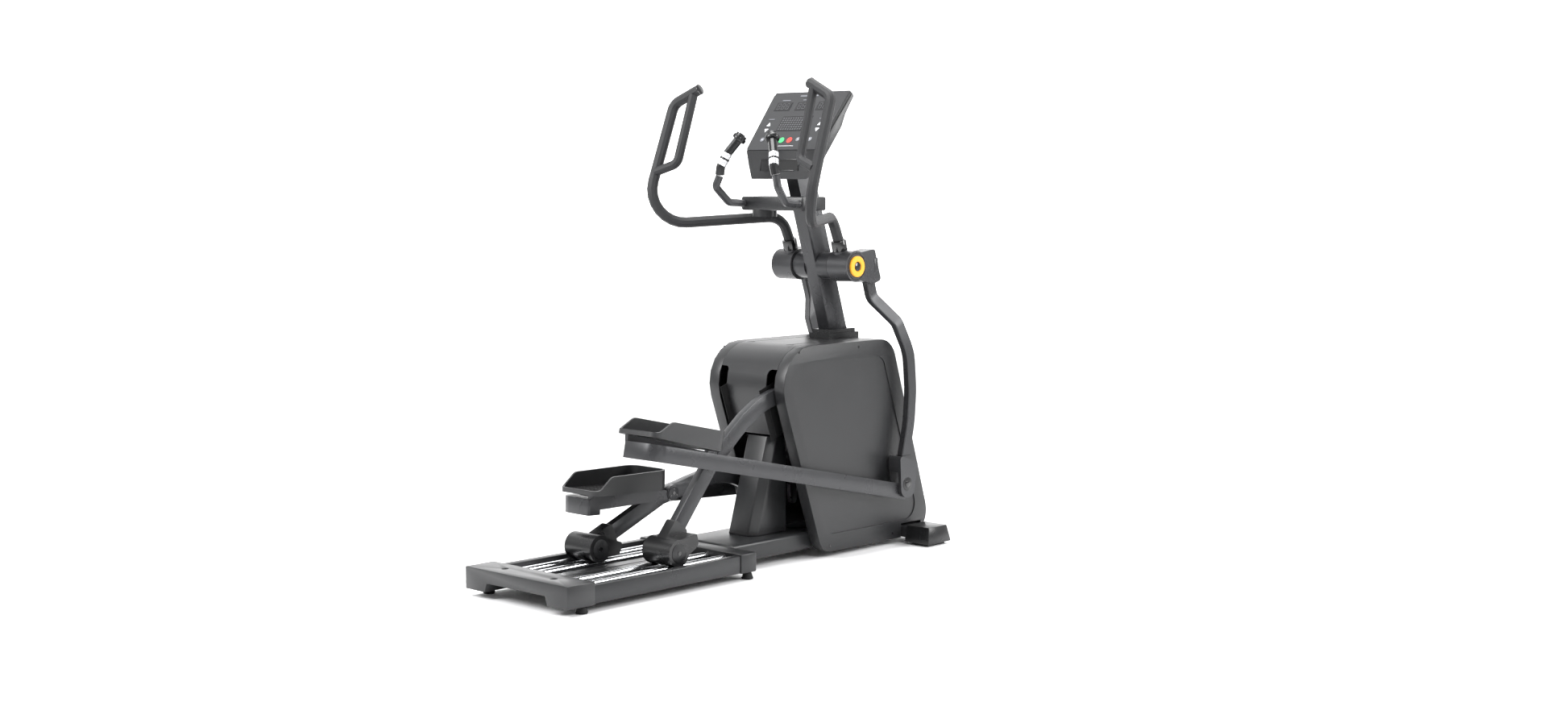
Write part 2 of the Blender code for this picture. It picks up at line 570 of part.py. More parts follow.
# ---------------------------------------------------------------- support arms, rollers, link bars, pedals
ARM_LINE = [(0.0348, 0.0426), (0.230, 0.281), (0.272, 0.316), (0.307, 0.343), (0.338, 0.371), (0.397, 0.418), (0.460, 0.456),
            (0.498, 0.473), (0.545, 0.4875), (0.600, 0.4945), (0.865, 0.525)]
for s in (LEFT, RIGHT):
    o = (ROLLER_X[s], ROLLER_Z)
    turn = ARM_TURN[s]

    def A(p):
        q = turn2(p, turn)
        return (o[0] + q[0], o[1] + q[1])

    flange = A(FLANGE_LOCAL)
    arm = ribbon([A(p) for p in ARM_LINE], ARM_H)
    ob = part(side_name("support_arm", s), plate_xz(arm, *ys(s, ARM_Y0, ARM_Y1)))
    bevel(ob, 0.004, 2, 60)
    cut(ob, rod((flange[0], s * 0.09, flange[1]), (flange[0], s * 0.15, flange[1]), 0.0110, 20))

    ob = part(side_name("roller_hood", s), rod((o[0], s * 0.062, o[1]), (o[0], s * 0.197, o[1]), DRUM_R, 32))
    ca, sa = math.cos(math.radians(ARM_DIR)), math.sin(math.radians(ARM_DIR))

    def along(t, w):
        return A((t * ca - w * sa, t * sa + w * ca))

    add(ob, plate_xz(rounded([along(0.0, -0.037), along(0.108, -0.037), along(0.108, 0.037), along(0.0, 0.037)],
                             [0, 0.010, 0.010, 0], 3), *ys(s, 0.0975, 0.1405)))
    beak = [A((0.010, 0.046)), along(0.100, -0.030), A((0.098, 0.020)), A((0.080, 0.005)), A((0.040, -0.016))]
    add(ob, plate_xz(rounded(beak, [0, 0.008, 0.020, 0.014, 0.004], 3), *ys(s, 0.064, 0.195)))
    for y0, y1 in ((0.0745, 0.1045), (0.1575, 0.1875)):
        cut(ob, rod((o[0], s * y0, o[1]), (o[0], s * y1, o[1]), 0.0446, 32))
        wedge = [(0.0, 0.0)] + [(0.14 * math.cos(math.radians(a)), 0.14 * math.sin(math.radians(a))) for a in (-128, -100, -62, -20)]
        cut(ob, plate_xz([A(p) for p in wedge], *ys(s, y0, y1)))
    cut(ob, plate_xz([along(0.0535, -0.0289), along(0.2, -0.0289), along(0.2, 0.0289), along(0.0535, 0.0289)],
                     *ys(s, ARM_Y0 - 0.0005, ARM_Y1 + 0.0005)))
    cut(ob, rod((o[0], s * 0.05, o[1]), (o[0], s * 0.21, o[1]), 0.0082, 24))
    part(side_name("roller_axle", s), rod((o[0], s * 0.0625, o[1]), (o[0], s * 0.1965, o[1]), 0.0078, 24))
    for tag, y in (("inner", TRACK_Y[0] - 0.0005), ("outer", TRACK_Y[1] + 0.0005)):
        yc = s * y
        part(side_name("roller_" + tag, s), turned([
            (0.0084, yc - 0.012), (0.0395, yc - 0.012), (0.0425, yc - 0.010), (0.0405, yc - 0.005), (ROLLER_R, yc),
            (0.0405, yc + 0.005), (0.0425, yc + 0.010), (0.0395, yc + 0.012), (0.0084, yc + 0.012)], o[0], o[1], 28, True))

    # pedal
    px, pz, tilt = PEDAL[s]

    def P(me):
        return pitch(me, tilt, (px, pz))

    y0, y1 = ys(s, PEDAL_Y0, PEDAL_Y1)
    foot = [(px, y0), (px + PEDAL_L, y0), (px + PEDAL_L, y1), (px, y1)]
    ob = part(side_name("pedal", s), P(plate_xy(rounded(foot, [0.03, 0.045, 0.045, 0.03], 5), pz, pz + PEDAL_WALL)))
    cut(ob, P(plate_xz(rounded([(px - 0.05, pz + 0.016), (px + 0.018, pz + 0.017), (px + 0.072, pz + 0.064),
                                (px + 0.40, pz + 0.0745), (px + 0.40, pz + 0.12), (px - 0.05, pz + 0.12)],
                               [0, 0.03, 0.03, 0, 0, 0], 5), -0.30, 0.30)))
    inner = [(px + 0.008, y0 + 0.008), (px + PEDAL_L - 0.008, y0 + 0.008), (px + PEDAL_L - 0.008, y1 - 0.008), (px + 0.008, y1 - 0.008)]
    cut(ob, P(plate_xy(rounded(inner, [0.024, 0.038, 0.038, 0.024], 5), pz + 0.009, pz + 0.2)))

    # link bar, hooked in under the heel, with the bracket that carries the pedal
    lx, lz, slope = LINK[s]
    xf = lx + (LINK_FRONT[s] - lx) / math.cos(math.radians(slope))
    hook = [(xf, s * LINK_Y1), (lx - 0.028, s * LINK_Y1), (lx - 0.028, s * 0.0885), (lx + 0.028, s * 0.0885),
            (lx + 0.028, s * LINK_Y0), (xf, s * LINK_Y0)]
    ob = part(side_name("link_bar", s), pitch(plate_xy(rounded(hook, [0.004, 0.055, 0.008, 0.004, 0.020, 0.004], 4),
                                                       lz - LINK_H, lz + LINK_H), slope, (lx, lz)))
    bevel(ob, 0.004, 2, 60)

    def under(x, drop):
        a = math.radians(tilt)
        t = (x - px) / math.cos(a)
        return (px + t * math.cos(a) + math.sin(a) * drop, pz + t * math.sin(a) - math.cos(a) * drop)

    bracket = [(lx - 0.020, lz - 0.012), under(lx - 0.018, GAP + 0.0001), under(px + PEDAL_L * math.cos(math.radians(tilt)), 0.0012)]
    add(ob, plate_xz(bracket + [(flange[0] - 0.020, flange[1] + 0.008), (flange[0] - 0.018, flange[1] - 0.021)],
                     *ys(s, 0.0885, 0.1025)))
    add(ob, rod((flange[0], s * 0.086, flange[1]), (flange[0], s * 0.1025, flange[1]), 0.029, 24))
    add(ob, rod((flange[0], s * 0.095, flange[1]), (flange[0], s * 0.137, flange[1]), 0.0105, 16))

# ---------------------------------------------------------------- colours
GREY, CHAR, BLACK, CHROME, ORANGE = (0.18, 0.18, 0.19), (0.045, 0.045, 0.05), (0.015, 0.015, 0.017), (0.75, 0.76, 0.78), (0.85, 0.20, 0.02)
LOOK = {
    "rear_housing": (CHAR, 0.5, 0), "side_rail": (CHAR, 0.5, 0), "deck_pan": (BLACK, 0.6, 0), "track": (CHROME, 0.12, 1),
    "front_crossbar": (CHAR, 0.5, 0), "base_spine": (CHAR, 0.5, 0), "rear_leg": (CHAR, 0.5, 0), "levelling_foot": (BLACK, 0.8, 0),
    "front_foot_bar": (CHAR, 0.5, 0), "foot_cap": (BLACK, 0.5, 0), "inner_frame": (CHAR, 0.5, 0), "crank_axle": (CHROME, 0.3, 1),
    "drive_pulley": (CHAR, 0.4, 0), "crank_arm": (GREY, 0.4, 1), "flywheel": (GREY, 0.4, 1), "drive_belt": (BLACK, 0.8, 0),
    "shroud_centre": (CHAR, 0.5, 0), "side_panel": (CHAR, 0.5, 0), "mast_collar": (BLACK, 0.5, 0), "mast": (GREY, 0.4, 0),
    "pivot_axle": (GREY, 0.4, 1), "tray": (CHAR, 0.5, 0), "fixed_grip": (GREY, 0.4, 0), "grip_handle": (BLACK, 0.5, 0),
    "grip_button": (CHROME, 0.3, 1), "console_body": (CHAR, 0.5, 0), "console_overlay": (BLACK, 0.3, 0), "lower_arm": (GREY, 0.4, 0),
    "handlebar": (CHAR, 0.7, 0), "hub_ring": (ORANGE, 0.4, 0), "support_arm": (GREY, 0.4, 0), "roller_hood": (BLACK, 0.5, 0),
    "roller_axle": (CHROME, 0.3, 1), "roller_inner": (BLACK, 0.6, 0), "roller_outer": (BLACK, 0.6, 0), "pedal": (BLACK, 0.7, 0), "link_bar": (GREY, 0.4, 0),
}
for ob in PARTS.objects:
    key = max((k for k in LOOK if ob.name.startswith(k)), key=len)
    rgb, rough, metal = LOOK[key]
    m = bpy.data.materials.new("mat_" + ob.name)
    m.use_nodes = True
    b = m.node_tree.nodes["Principled BSDF"]
    b.inputs["Base Color"].default_value = (rgb[0], rgb[1], rgb[2], 1.0)
    b.inputs["Roughness"].default_value = rough
    b.inputs["Metallic"].default_value = metal
    ob.data.materials.clear()
    ob.data.materials.append(m)

# ---------------------------------------------------------------- middle of the machine to X = 0, origins on the joint axes
for ob in list(PARTS.objects) + list(CUTS.objects):
    ob.data.transform(Matrix.Translation((-SHIFT, 0, 0)))


def set_origin(ob, p):
    ob.data.transform(Matrix.Translation((-p[0], -p[1], -p[2])))
    ob.location = p


for s in (LEFT, RIGHT):
    o = (ROLLER_X[s] - SHIFT, s * 0.119, ROLLER_Z)
    q = turn2(FLANGE_LOCAL, ARM_TURN[s])
    for base in ("support_arm", "roller_hood", "roller_axle", "roller_inner", "roller_outer"):
        set_origin(PARTS.objects[side_name(base, s)], o)
    for base in ("pedal", "link_bar"):
        set_origin(PARTS.objects[side_name(base, s)], (o[0] + q[0], o[1], o[2] + q[1]))
    for base in ("lower_arm", "handlebar", "hub_ring"):
        set_origin(PARTS.objects[side_name(base, s)], (HUB[0] - SHIFT, s * 0.14, HUB[1]))
    set_origin(PARTS.objects[side_name("crank_arm", s)], (CRANK[0] - SHIFT, s * 0.09, CRANK[1]))
    set_origin(PARTS.objects[side_name("grip_button", s)], (0.242 - SHIFT, s * 0.084, 1.549))
for base in ("crank_axle", "drive_pulley"):
    set_origin(PARTS.objects[base], (CRANK[0] - SHIFT, 0, CRANK[1]))
set_origin(PARTS.objects["flywheel"], (FLY[0] - SHIFT, 0, FLY[1]))
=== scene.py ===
import bpy
import bmesh
import math
from mathutils import Vector, Matrix


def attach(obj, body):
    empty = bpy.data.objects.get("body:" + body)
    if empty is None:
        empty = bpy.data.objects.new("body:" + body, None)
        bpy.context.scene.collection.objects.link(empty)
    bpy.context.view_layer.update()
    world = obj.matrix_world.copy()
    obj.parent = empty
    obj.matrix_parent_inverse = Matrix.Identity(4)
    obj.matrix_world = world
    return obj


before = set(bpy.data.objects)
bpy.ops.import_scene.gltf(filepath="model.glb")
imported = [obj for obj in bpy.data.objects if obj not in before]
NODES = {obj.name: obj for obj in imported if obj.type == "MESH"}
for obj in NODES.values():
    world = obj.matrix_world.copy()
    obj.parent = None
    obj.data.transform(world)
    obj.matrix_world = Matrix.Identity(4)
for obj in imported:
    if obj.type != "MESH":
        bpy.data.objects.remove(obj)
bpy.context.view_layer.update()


S = 0.0504
HUB = (0.585 - S, 1.077)
TURN = {1: 1.5, -1: 0.0}


# ------------------------------------------------------------------ materials
def surface(name, rgb, rough, metal=0.0, grain=600.0, bump=0.08, vary=0.06, painted_edge_highlight=0.0, coat=0.0, spec=0.5, big=6.0, tint=0.05):
    m = bpy.data.materials.new(name)
    m.use_nodes = True
    nt = m.node_tree
    b = nt.nodes["Principled BSDF"]
    b.inputs["Metallic"].default_value = metal
    b.inputs["Coat Weight"].default_value = coat
    b.inputs["Specular IOR Level"].default_value = spec
    tc = nt.nodes.new("ShaderNodeTexCoord")
    n1 = nt.nodes.new("ShaderNodeTexNoise")
    n1.inputs["Scale"].default_value = grain
    n1.inputs["Detail"].default_value = 3.0
    n2 = nt.nodes.new("ShaderNodeTexNoise")
    n2.inputs["Scale"].default_value = big
    n2.inputs["Detail"].default_value = 5.0
    nt.links.new(tc.outputs["Object"], n1.inputs["Vector"])
    nt.links.new(tc.outputs["Object"], n2.inputs["Vector"])
    mr = nt.nodes.new("ShaderNodeMapRange")
    mr.inputs["To Min"].default_value = max(rough - vary, 0.03)
    mr.inputs["To Max"].default_value = min(rough + vary, 1.0)
    nt.links.new(n2.outputs["Fac"], mr.inputs["Value"])
    nt.links.new(mr.outputs["Result"], b.inputs["Roughness"])
    cr = nt.nodes.new("ShaderNodeValToRGB")
    cr.color_ramp.elements[0].position = 0.3
    cr.color_ramp.elements[1].position = 0.7
    lo = [c * (1 - tint) for c in rgb]
    hi = [min(c * (1 + tint), 1.0) for c in rgb]
    cr.color_ramp.elements[0].color = (lo[0], lo[1], lo[2], 1)
    cr.color_ramp.elements[1].color = (hi[0], hi[1], hi[2], 1)
    nt.links.new(n2.outputs["Fac"], cr.inputs["Fac"])
    # painted highlight: convex edges (high Pointiness) get a lighter base colour, up to 1.8x the colour plus 0.02,
    # standing in for lit glossy edges
    if painted_edge_highlight > 0:
        geo = nt.nodes.new("ShaderNodeNewGeometry")
        edge_highlight_range = nt.nodes.new("ShaderNodeMapRange")
        edge_highlight_range.inputs["From Min"].default_value = 0.53
        edge_highlight_range.inputs["From Max"].default_value = 0.62
        edge_highlight_range.inputs["To Max"].default_value = painted_edge_highlight
        nt.links.new(geo.outputs["Pointiness"], edge_highlight_range.inputs["Value"])
        mix = nt.nodes.new("ShaderNodeMix")
        mix.data_type = 'RGBA'
        mix.inputs[7].default_value = (min(rgb[0] * 1.8 + 0.02, 1), min(rgb[1] * 1.8 + 0.02, 1), min(rgb[2] * 1.8 + 0.02, 1), 1)
        nt.links.new(edge_highlight_range.outputs["Result"], mix.inputs[0])
        nt.links.new(cr.outputs["Color"], mix.inputs[6])
        nt.links.new(mix.outputs[2], b.inputs["Base Color"])
    else:
        nt.links.new(cr.outputs["Color"], b.inputs["Base Color"])
    bp = nt.nodes.new("ShaderNodeBump")
    bp.inputs["Strength"].default_value = bump
    bp.inputs["Distance"].default_value = 0.0006
    nt.links.new(n1.outputs["Fac"], bp.inputs["Height"])
    nt.links.new(bp.outputs["Normal"], b.inputs["Normal"])
    return m


def glow(name, rgb, power):
    m = surface(name, rgb, 0.4, bump=0.0)
    b = m.node_tree.nodes["Principled BSDF"]
    b.inputs["Emission Color"].default_value = (rgb[0], rgb[1], rgb[2], 1)
    b.inputs["Emission Strength"].default_value = power
    return m


# painted_edge_highlight sets how strongly each material's convex edges are lightened as a painted highlight
M = {
    "char": surface("charcoal_texture", (0.0125, 0.0129, 0.0140), 0.33, grain=900, bump=0.22, painted_edge_highlight=0.25, spec=0.45),
    "panel": surface("panel_fine_texture", (0.0135, 0.0139, 0.0150), 0.36, grain=1300, bump=0.25, painted_edge_highlight=0.2, spec=0.5),
    "black": surface("black_plastic", (0.0052, 0.0054, 0.0060), 0.28, grain=900, bump=0.15, painted_edge_highlight=0.2),
    "gloss": surface("gloss_black", (0.0055, 0.0055, 0.0062), 0.16, grain=200, bump=0.02, coat=0.4),
    "liner": surface("dark_liner", (0.002, 0.002, 0.0024), 0.7, grain=500, bump=0.2),
    "powder": surface("grey_powder_coat", (0.034, 0.0345, 0.037), 0.28, metal=0.35, grain=1500, bump=0.35, painted_edge_highlight=0.2, vary=0.05),
    "mast": surface("mast_powder_coat", (0.026, 0.0265, 0.029), 0.28, metal=0.30, grain=1500, bump=0.35, painted_edge_highlight=0.2),
    "rail": surface("side_rail_coat", (0.0145, 0.0150, 0.0165), 0.30, metal=0.2, grain=1400, bump=0.25, painted_edge_highlight=0.25),
    "chrome": surface("track_chrome", (0.86, 0.87, 0.89), 0.13, metal=1.0, grain=150, bump=0.0, vary=0.02, tint=0.01),
    "steel": surface("turned_steel", (0.55, 0.55, 0.56), 0.28, metal=1.0, grain=400, bump=0.05),
    "iron": surface("flywheel_iron", (0.18, 0.18, 0.19), 0.45, metal=0.8, grain=300, bump=0.3),
    "foam": surface("grip_foam", (0.0150, 0.0154, 0.0168), 0.55, grain=1100, bump=0.5, vary=0.05, spec=0.35),
    "rubber": surface("rubber", (0.0075, 0.0075, 0.0080), 0.66, grain=700, bump=0.35, spec=0.3),
    "pedal": surface("pedal_texture", (0.0095, 0.0099, 0.0108), 0.40, grain=700, bump=0.5, painted_edge_highlight=0.3),
    "orange": surface("orange_plastic", (0.88, 0.36, 0.020), 0.34, grain=600, bump=0.06, painted_edge_highlight=0.15),
    "glass": surface("overlay_film", (0.0135, 0.0140, 0.0160), 0.30, grain=900, bump=0.03, coat=0.25),
    "window": surface("display_window", (0.0060, 0.0062, 0.0075), 0.18, grain=200, bump=0.0),
    "grey_print": surface("grey_print", (0.14, 0.145, 0.16), 0.5, bump=0.0),
    "white": surface("white_print", (0.75, 0.76, 0.78), 0.45, bump=0.0),
    "segment": surface("unlit_segment", (0.055, 0.056, 0.060), 0.4, bump=0.0),
    "green": surface("green_key", (0.05, 0.45, 0.14), 0.45, bump=0.0),
    "red": surface("red_key", (0.55, 0.04, 0.03), 0.45, bump=0.0),
    "pale": surface("pale_contact", (0.80, 0.81, 0.83), 0.22, metal=0.6, grain=300, bump=0.03),
}
LOOK = {
    "rear_housing": "char", "side_rail": "rail", "deck_pan": "black", "track": "chrome", "front_crossbar": "char",
    "base_spine": "char", "rear_leg": "char", "levelling_foot": "rubber", "front_foot_bar": "rail", "foot_cap": "black",
    "inner_frame": "rail", "crank_axle": "steel", "drive_pulley": "steel", "crank_arm": "steel", "flywheel": "iron",
    "drive_belt": "rubber", "shroud_centre": "char", "side_panel": "panel", "mast_collar": "black", "mast": "mast",
    "pivot_axle": "mast", "tray": "char", "fixed_grip": "powder", "grip_handle": "black", "grip_button": "gloss",
    "console_body": "char", "console_overlay": "glass", "lower_arm": "powder", "handlebar": "foam", "hub_ring": "orange",
    "support_arm": "powder", "roller_hood": "black", "roller_axle": "steel", "roller_inner": "rubber",
    "roller_outer": "rubber", "pedal": "pedal", "link_bar": "powder",
}
for name, ob in NODES.items():
    key = max((k for k in LOOK if name.startswith(k)), key=len)
    ob.data.materials.clear()
    ob.data.materials.append(M[LOOK[key]])
    w = ob.modifiers.new("weld", 'WELD')
    w.merge_threshold = 0.00002
    for p in ob.data.polygons:
        p.use_smooth = True
        p.material_index = 0
    e = ob.modifiers.new("split", 'EDGE_SPLIT')
    e.split_angle = math.radians(33)


# ------------------------------------------------------------------ detail helpers
def put(name, me, mat, body, w=0.0):
    ob = bpy.data.objects.new(name, me)
    bpy.context.scene.collection.objects.link(ob)
    me.materials.clear()
    me.materials.append(M[mat])
    if w > 0:
        b = ob.modifiers.new("edge", 'BEVEL')
        b.width = w
        b.segments = 2
        b.limit_method = 'ANGLE'
        b.angle_limit = math.radians(40)
    for p in me.polygons:
        p.use_smooth = True
    e = ob.modifiers.new("split", 'EDGE_SPLIT')
    e.split_angle = math.radians(35)
    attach(ob, body)
    return ob


def cube(c, d, mat=None):
    bm = bmesh.new()
    bmesh.ops.create_cube(bm, size=1.0)
    for v in bm.verts:
        v.co = Vector((v.co.x * d[0], v.co.y * d[1], v.co.z * d[2]))
    me = bpy.data.meshes.new("m")
    bm.to_mesh(me)
    bm.free()
    me.transform(Matrix.Translation(c) @ (mat if mat is not None else Matrix.Identity(4)))
    return me


def rod(p0, p1, r, n=32, r2=None):
    p0, p1 = Vector(p0), Vector(p1)
    bm = bmesh.new()
    bmesh.ops.create_cone(bm, cap_ends=True, segments=n, radius1=r, radius2=r if r2 is None else r2, depth=(p1 - p0).length)
    me = bpy.data.meshes.new("m")
    bm.to_mesh(me)
    bm.free()
    me.transform(Matrix.Translation((p0 + p1) / 2) @ (p1 - p0).to_track_quat('Z', 'Y').to_matrix().to_4x4())
    return me


def joined(meshes):
    bm = bmesh.new()
    for me in meshes:
        bm.from_mesh(me)
    out = bpy.data.meshes.new("m")
    bm.to_mesh(out)
    bm.free()
    return out


def ring(c, axis, r, t, n=40, k=8):
    bm = bmesh.new()
    rows = []
    q = Vector(axis).to_track_quat('Z', 'Y').to_matrix()
    for i in range(n):
        a = 2 * math.pi * i / n
        row = []
        for j in range(k):
            b = 2 * math.pi * j / k
            p = Vector(((r + t * math.cos(b)) * math.cos(a), (r + t * math.cos(b)) * math.sin(a), t * math.sin(b)))
            row.append(bm.verts.new(q @ p + Vector(c)))
        rows.append(row)
    for i in range(n):
        for j in range(k):
            bm.faces.new((rows[i][j], rows[(i + 1) % n][j], rows[(i + 1) % n][(j + 1) % k], rows[i][(j + 1) % k]))
    bmesh.ops.recalc_face_normals(bm, faces=bm.faces[:])
    me = bpy.data.meshes.new("m")
    bm.to_mesh(me)
    bm.free()
    return me


def pitch(deg, about):
    t = Matrix.Translation((about[0], 0, about[1]))
    return t @ Matrix.Rotation(-math.radians(deg), 4, 'Y') @ t.inverted()


def moved(me, m):
    me.transform(m)
    return me


# ------------------------------------------------------------------ console face
TOP, LOW = Vector((0.549 - S, 1.728)), Vector((0.371 - S, 1.507))
FD = (TOP - LOW).normalized()
FN = Vector((-FD.y, FD.x))               # out of the face, towards the user
FACE = Matrix(((0, FD.x, FN.x, LOW.x), (-1, 0, 0, 0), (0, FD.y, FN.y, LOW.y), (0, 0, 0, 1)))


def on_face(name, meshes, mat, h0):
    me = joined(meshes)
    me.transform(FACE @ Matrix.Translation((0, 0, h0)))
    return put(name, me, mat, "base")


def tile(u, v, w, h, t=0.0005):
    return cube((u, v, t / 2), (w, h, t))


# u runs to the user's right, v up the face from its lower edge (face about 0.284 high)
wins, segs = [], []
for k, u in enumerate((-0.105, 0.0, 0.105)):
    wins.append(tile(u, 0.212, 0.078, 0.040))
    for d in (-1, 0, 1):
        cx, cy, w, h, t = u + d * 0.022, 0.212, 0.013, 0.026, 0.0022
        for dx, dy, sw, sh in ((0, h / 2, w, t), (0, 0, w, t), (0, -h / 2, w, t), (-w / 2, h / 4, t, h / 2.6), (w / 2, h / 4, t, h / 2.6),
                               (-w / 2, -h / 4, t, h / 2.6), (w / 2, -h / 4, t, h / 2.6)):
            segs.append(tile(cx + dx, cy + dy, sw, sh, 0.0003))
on_face("console_windows", wins, "window", 0.0003)
on_face("console_segments", segs, "segment", 0.0009)
field = [tile(0.0, 0.128, 0.150, 0.070)]
on_face("console_field", field, "window", 0.0003)
dots = [tile(-0.066 + 0.012 * i, 0.101 + 0.0105 * j, 0.008, 0.0065, 0.0003) for i in range(12) for j in range(6)]
on_face("console_dots", dots, "segment", 0.0009)
on_face("console_bars", [tile(-0.105, 0.242, 0.040, 0.004), tile(0.0, 0.242, 0.040, 0.004), tile(0.105, 0.242, 0.040, 0.004),
                         tile(0.0, 0.262, 0.090, 0.006), tile(-0.128, 0.150, 0.030, 0.003), tile(0.128, 0.150, 0.030, 0.003)], "grey_print", 0.0003)


def flat_poly(pts, t=0.0004):
    bm = bmesh.new()
    f = bm.faces.new([bm.verts.new((p[0], p[1], 0.0)) for p in pts])
    r = bmesh.ops.extrude_face_region(bm, geom=[f])
    for v in [g for g in r["geom"] if isinstance(g, bmesh.types.BMVert)]:
        v.co.z += t
    bmesh.ops.recalc_face_normals(bm, faces=bm.faces[:])
    me = bpy.data.meshes.new("m")
    bm.to_mesh(me)
    bm.free()
    return me


def disc(u, v, r, n=24, t=0.0005):
    return flat_poly([(u + r * math.cos(2 * math.pi * k / n), v + r * math.sin(2 * math.pi * k / n)) for k in range(n)], t)


arrows = []
for sx in (-1, 1):
    u = sx * 0.128
    arrows += [flat_poly([(u - 0.010, 0.118), (u + 0.010, 0.118), (u, 0.134)]), flat_poly([(u - 0.010, 0.104), (u, 0.088), (u + 0.010, 0.104)])]
on_face("console_arrows", arrows, "white", 0.0003)
on_face("console_keys", [disc(-0.120 + 0.03 * k, 0.052, 0.0095) for k in (0, 2, 6, 8)], "grey_print", 0.0003)
on_face("console_start", [disc(-0.020, 0.048, 0.013)], "green", 0.0003)
on_face("console_stop", [disc(0.020, 0.048, 0.013)], "red", 0.0003)
on_face("console_key_marks", [tile(-0.120 + 0.03 * k, 0.052, 0.008, 0.0018, 0.0003) for k in (0, 2, 6, 8)] +
        [tile(0.0, 0.020, 0.11, 0.0015, 0.0003)], "white", 0.0010)
# chin: pocket lip frame and pocket floor
CH0, CH1 = Vector((0.371 - S, 1.507)), Vector((0.362 - S, 1.403))
cd = (CH0 - CH1).normalized()
cn = Vector((-cd.y, cd.x))
CHIN = Matrix(((0, cd.x, cn.x, CH1.x), (-1, 0, 0, 0), (0, cd.y, cn.y, CH1.y), (0, 0, 0, 1)))
lip = joined([cube((0, 0.070, -0.001), (0.19, 0.0035, 0.004)), cube((0, 0.030, -0.001), (0.15, 0.0035, 0.004)),
              cube((-0.095, 0.050, -0.001), (0.0035, 0.043, 0.004)), cube((0.095, 0.050, -0.001), (0.0035, 0.043, 0.004))])
put("chin_pocket_lip", moved(lip, CHIN), "black", "base", 0.0008)
put("chin_pocket", moved(cube((0, 0.050, -0.0022), (0.19, 0.040, 0.003)), CHIN), "liner", "base")
# seam round the console sides
for s in (1, -1):
    pts = [Vector((0.553 - S, s * 0.1915, 1.712)), Vector((0.452 - S, s * 0.1865, 1.588)), Vector((0.385 - S, s * 0.1785, 1.500)), Vector((0.376 - S, s * 0.1450, 1.420))]
    me = joined([rod(a, b, 0.0012, 8) for a, b in zip(pts, pts[1:])])
    put("console_seam_%s" % ("left" if s > 0 else "right"), me, "liner", "base")

